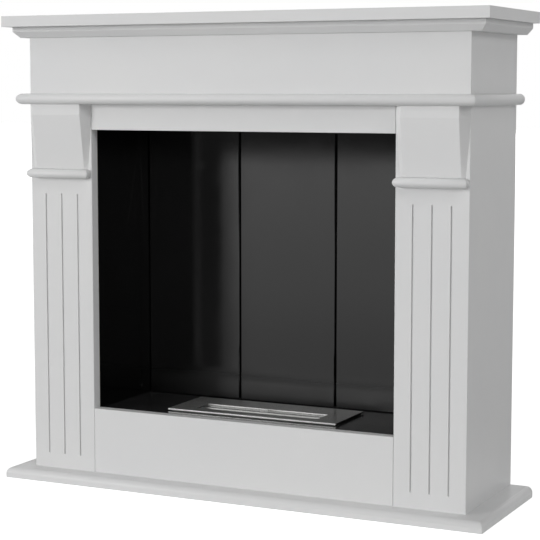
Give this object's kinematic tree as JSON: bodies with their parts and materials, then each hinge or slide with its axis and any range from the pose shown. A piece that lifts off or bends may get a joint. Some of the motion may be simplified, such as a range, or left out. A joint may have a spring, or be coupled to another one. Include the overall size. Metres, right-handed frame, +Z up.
{
  "type": "bioethanol fireplace",
  "caption": "Floor-standing bioethanol fireplace: painted mantel surround with grooved legs, black sheet firebox and a lift-out steel burner with a sliding shutter.",
  "frame": {"origin": "on the floor, under the middle of the base board", "axes": "+X to the right seen from the front, -Y towards the viewer, +Z up"},
  "size_m": [1.059, 0.3166, 0.97],
  "materials": {
    "painted_board": "board sprayed with white satin paint",
    "raw_board": "unpainted fibreboard",
    "black_sheet": "black satin powder coat on sheet steel",
    "stainless": "brushed stainless steel",
    "zinc_screw": "zinc plated",
    "ceramic_wool": "matt ceramic fibre"
  },
  "bodies": {
    "surround": {"base_plinth": "painted_board", "top_slab": "painted_board", "cornice_board": "painted_board", "frieze_front": "painted_board", "frieze_side_left": "painted_board", "frieze_side_right": "painted_board", "frieze_rear": "raw_board", "frieze_blocks": "raw_board", "band_board": "painted_board", "pilaster_left": "painted_board", "pilaster_right": "painted_board", "corbel_left": "painted_board", "corbel_right": "painted_board", "astragal_left": "painted_board", "astragal_right": "painted_board", "lintel": "painted_board", "apron": "painted_board", "side_panel_left": "painted_board", "side_panel_right": "painted_board", "leg_blocks": "raw_board", "front_cleats": "raw_board", "cheek_left": "raw_board", "cheek_right": "raw_board", "shelf_cleats": "raw_board", "firebox_shelf": "raw_board", "rear_cover": "black_sheet", "rear_cover_screws": "zinc_screw", "base_screws": "zinc_screw", "band_screws": "zinc_screw", "slab_screws": "zinc_screw", "firebox_floor": "black_sheet", "firebox_wall_left": "black_sheet", "firebox_wall_right": "black_sheet", "firebox_back": "black_sheet", "firebox_ceiling": "black_sheet", "liner_left": "black_sheet", "liner_middle": "black_sheet", "liner_right": "black_sheet", "firebox_screws": "black_sheet", "locating_studs": "stainless"},
    "burner": {"burner_tank": "stainless", "burner_plate": "stainless", "rail_left": "stainless", "rail_right": "stainless", "fibre_pad": "ceramic_wool"},
    "shutter": {"shutter": "stainless", "shutter_lug": "stainless"}
  },
  "joints": [
    {"name": "burner_lift", "type": "slide", "parent": "surround", "child": "burner", "axis": [0, 0, 1], "range_m": [0, 0.08]},
    {"name": "shutter_slide", "type": "slide", "parent": "burner", "child": "shutter", "axis": [0, -1, 0], "range_m": [-0.0098, 0.0362]}
  ]
}
